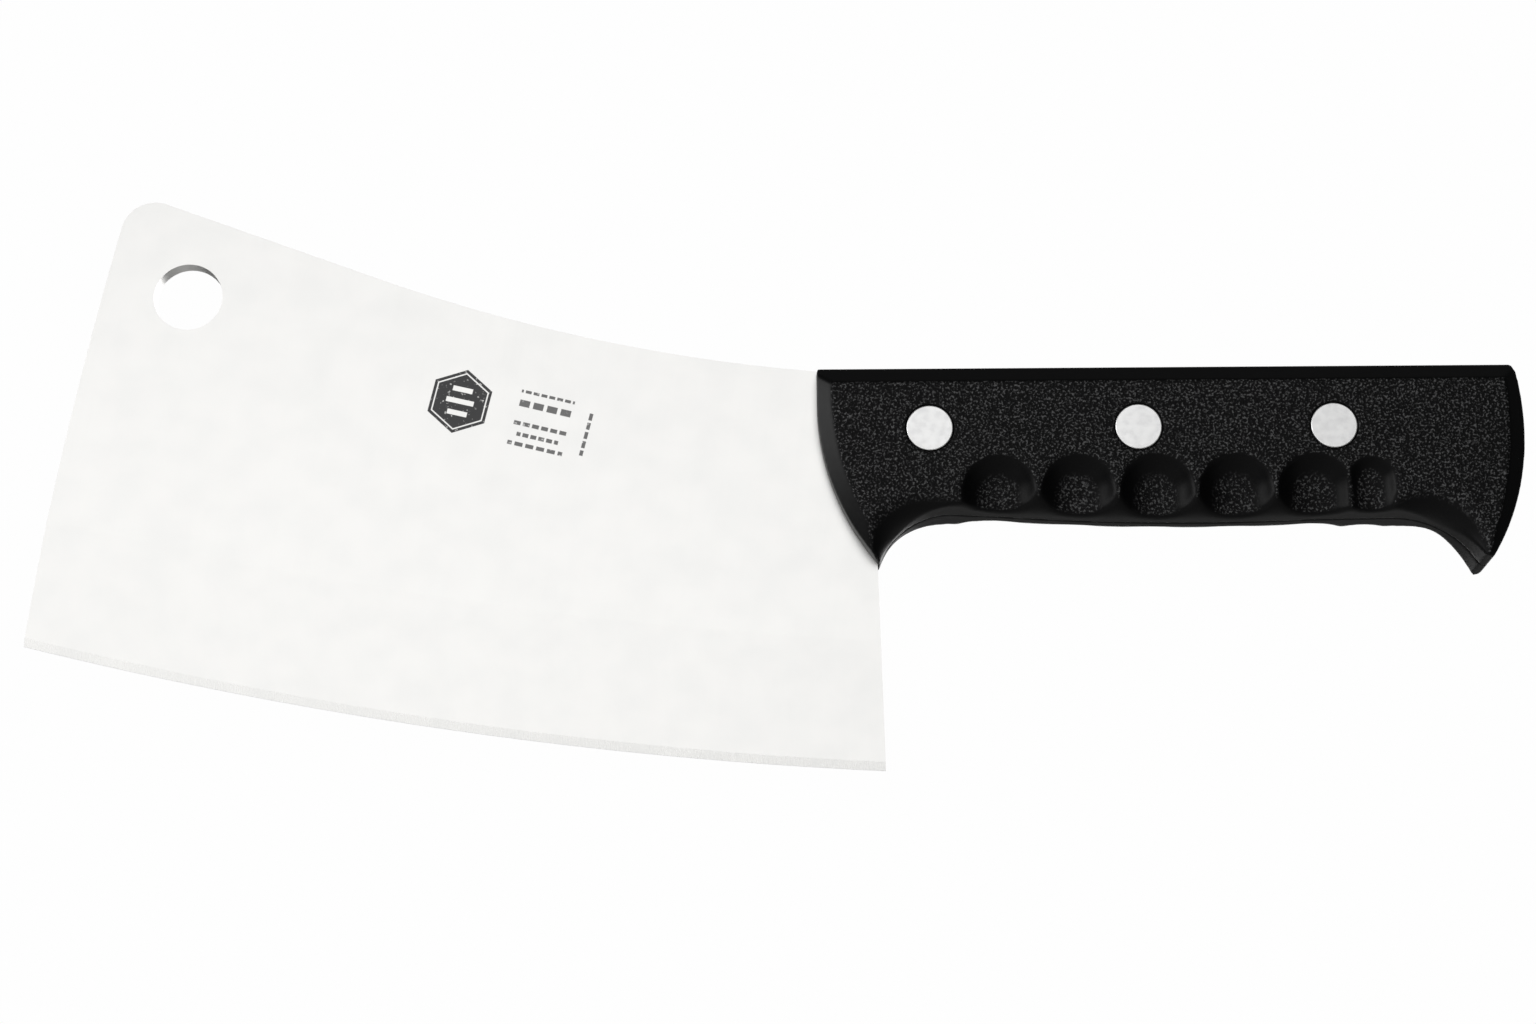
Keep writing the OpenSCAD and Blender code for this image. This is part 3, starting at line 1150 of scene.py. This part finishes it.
@dataclass(frozen=True)
class Softbox:
    """Large soft light."""

    name: str
    at: tuple[float, float, float]
    aim: tuple[float, float, float]
    size: Flat
    radiance: float

    def hang(self) -> None:
        """Hangs the light and turns it to its aim."""
        light = bpy.data.lights.new(self.name, "AREA")
        light.shape = "RECTANGLE"
        light.size, light.size_y = self.size
        light.energy = self.radiance * math.pi * self.size[0] * self.size[1]
        holder = bpy.data.objects.new(self.name, light)
        bpy.context.scene.collection.objects.link(holder)
        holder.location = self.at
        away = Vector(self.aim) - Vector(self.at)
        holder.rotation_euler = away.to_track_quat("-Z", "Y").to_euler()
        holder.visible_camera = False


@dataclass
class Studio:
    """Pale floor, soft light and the camera."""

    floor_z: float = -0.62
    floor_colour: Colour = (0.80, 0.80, 0.79, 1.0)
    white: float = 0.991
    ambient: float = 0.08
    camera_at: tuple[float, float, float] = (0.1351, -0.7682, -0.2588)
    look: tuple[float, float, float] = (0.0019, 0.9659, 0.2588)
    roll: float = math.radians(0.43)
    lens: float = 80.0
    boxes: tuple[Softbox, ...] = (
        Softbox("front_softbox", (-0.11, -1.25, 0.17), (-0.11, 0.0, 0.17), (1.55, 1.5), 1.06),
        Softbox("left_softbox", (-1.0, -0.25, 0.25), (0.1, 0.0, -0.04), (0.8, 0.8), 4.8),
        Softbox("back_softbox", (0.4, 1.4, 0.35), (0.1, 0.0, -0.06), (1.8, 0.9), 2.2),
    )

    def lay_floor(self) -> None:
        """Lays the floor well below the cleaver."""
        let_go()
        bpy.ops.mesh.primitive_plane_add(size=8.0, location=(0.1, 0.0, self.floor_z))
        floor = settle(bpy.context.object)
        floor.name = "floor"
        recipe = Recipe("floor_paint")
        clouds = recipe.noise((600.0, 600.0, 600.0), 2.0)
        darker = tuple(0.98 * part for part in self.floor_colour[:3]) + (1.0,)
        colour = recipe.blend(clouds, self.floor_colour, darker)
        floor.data.materials.append(recipe.finish(Base_Color=colour, Roughness=0.9))

    def light(self) -> None:
        """Hangs the lights against a white surround that shines softly."""
        for box in self.boxes:
            box.hang()
        world = bpy.data.worlds.new("surround")
        bpy.context.scene.world = world
        world.use_nodes = True
        tree = world.node_tree
        tree.nodes.clear()
        path = tree.nodes.new("ShaderNodeLightPath")
        level = tree.nodes.new("ShaderNodeMapRange")
        level.inputs[3].default_value = self.ambient
        level.inputs[4].default_value = self.white
        glow = tree.nodes.new("ShaderNodeBackground")
        output = tree.nodes.new("ShaderNodeOutputWorld")
        tree.links.new(path.outputs["Is Camera Ray"], level.inputs[0])
        tree.links.new(level.outputs[0], glow.inputs["Strength"])
        tree.links.new(glow.outputs[0], output.inputs[0])
        glow.inputs["Color"].default_value = (1.0, 1.0, 1.0, 1.0)
        bpy.context.scene.view_settings.view_transform = "Standard"

    def set_camera(self) -> None:
        """Stands the camera in front of the left side, a little below the blade."""
        camera = bpy.data.cameras.new("camera")
        camera.lens, camera.sensor_width = self.lens, 36.0
        camera.clip_start, camera.clip_end = 0.01, 50.0
        holder = bpy.data.objects.new("camera", camera)
        bpy.context.scene.collection.objects.link(holder)
        ahead = Vector(self.look).normalized()
        level = ahead.cross(Vector((0, 0, 1))).normalized()
        right = Matrix.Rotation(self.roll, 3, ahead) @ level
        up = right.cross(ahead)
        turn = Matrix((right, up, -ahead)).transposed().to_4x4()
        holder.matrix_world = Matrix.Translation(self.camera_at) @ turn
        bpy.context.scene.camera = holder


def main() -> None:
    """Builds the cleaver and the studio."""
    logging.basicConfig(level=logging.INFO, format="%(message)s")
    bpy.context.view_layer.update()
    grip = Grip()
    steel = Steel(grip, GroundSteel())
    rivets = Rivets(RivetSteel())
    scales = Scales(grip, steel, MouldedPlastic())
    steel.build()
    scales.build(rivets)
    rivets.build()
    studio = Studio()
    studio.lay_floor()
    studio.light()
    studio.set_camera()
    let_go()


if __name__ == "__main__":
    main()
